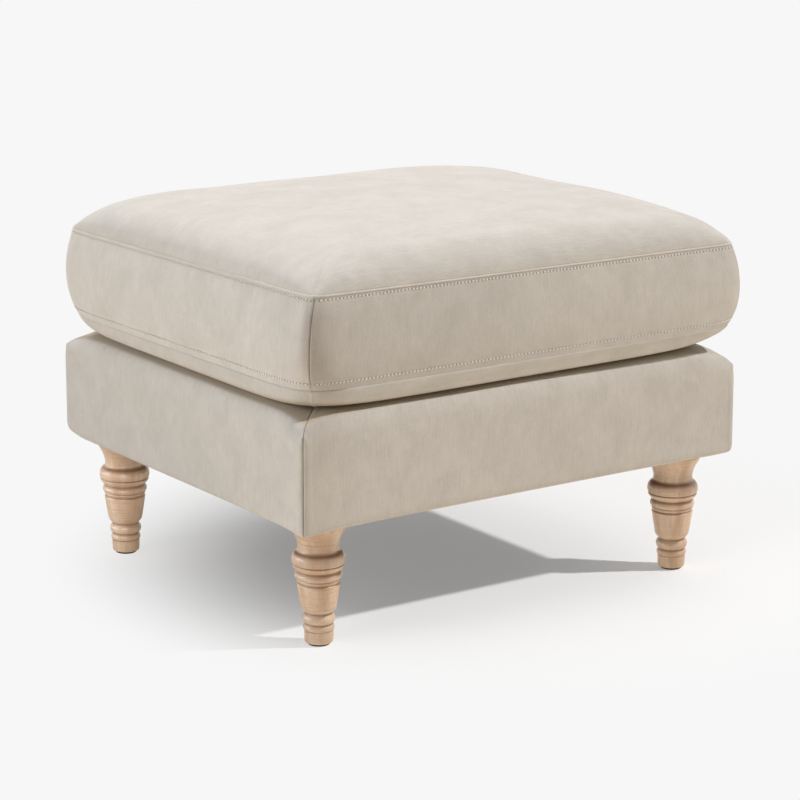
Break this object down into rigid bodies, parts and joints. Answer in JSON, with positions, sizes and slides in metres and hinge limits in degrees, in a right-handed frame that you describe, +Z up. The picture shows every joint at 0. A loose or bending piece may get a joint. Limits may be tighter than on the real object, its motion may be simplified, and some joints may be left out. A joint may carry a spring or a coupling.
{
  "type": "footstool",
  "caption": "Upholstered footstool: a sprung box base on turned wooden legs, with a loose zipped boxed cushion that lifts off.",
  "frame": {"origin": "on the floor under the middle of the stool: the centre of the bottom of its bounding box", "axes": "+Z up, +X to the right along the wider side, and the front, the wide side nearer the camera in the picture, faces -Y"},
  "size_m": [0.625, 0.54, 0.4585],
  "materials": {
    "upholstery": "fine ribbed velvet weave, matte, warm oatmeal",
    "turned_wood": "pale turned hardwood under a satin lacquer",
    "frame_wood": "planed, unfinished",
    "glide": "moulded, dark",
    "steel": "zinc plated",
    "hessian": "coarse plain weave",
    "foam": "open-cell foam",
    "fibre": "soft polyester fibre",
    "deck_lining": "plain lining cloth",
    "dust_fabric": "thin non-woven",
    "zip_fabric": "woven tape",
    "zip_nylon": "nylon coil",
    "slider_metal": "painted die casting"
  },
  "bodies": {
    "base": {"leg_front_left": "turned_wood", "leg_front_right": "turned_wood", "leg_back_left": "turned_wood", "leg_back_right": "turned_wood", "glide_front_left": "glide", "glide_front_right": "glide", "glide_back_left": "glide", "glide_back_right": "glide", "hanger_bolts": "steel", "tee_nuts": "steel", "corner_block_front_left": "frame_wood", "corner_block_front_right": "frame_wood", "corner_block_back_left": "frame_wood", "corner_block_back_right": "frame_wood", "rail_front": "frame_wood", "rail_back": "frame_wood", "rail_left": "frame_wood", "rail_right": "frame_wood", "rail_screws": "steel", "block_screws": "steel", "spring_1": "steel", "spring_2": "steel", "spring_3": "steel", "spring_4": "steel", "spring_5": "steel", "spring_clips": "steel", "clip_nails": "steel", "spring_cloth": "hessian", "deck_foam": "foam", "wadding_front": "fibre", "wadding_right": "fibre", "wadding_back": "fibre", "wadding_left": "fibre", "base_cover_front": "upholstery", "base_cover_right": "upholstery", "base_cover_back": "upholstery", "base_cover_left": "upholstery", "deck_cloth": "deck_lining", "dust_cover": "dust_fabric", "staples": "steel"},
    "cushion": {"cushion_top_panel": "upholstery", "cushion_bottom_panel": "upholstery", "cushion_border_front": "upholstery", "cushion_border_right": "upholstery", "cushion_border_left": "upholstery", "cushion_border_back_lower": "upholstery", "cushion_border_back_upper": "upholstery", "foam_core": "foam", "fibre_top": "fibre", "fibre_bottom": "fibre", "zip_tape": "zip_fabric", "zip_coil": "zip_nylon", "zip_end_tabs": "upholstery"},
    "zip_slider": {"zip_slider": "slider_metal"}
  },
  "joints": [
    {"name": "cushion_lift", "type": "slide", "parent": "base", "child": "cushion", "axis": [0, 0, 1], "range_m": [0, 0.2]},
    {"name": "zip_slide", "type": "slide", "parent": "cushion", "child": "zip_slider", "axis": [-1, 0, 0], "range_m": [0, 0.47]}
  ]
}
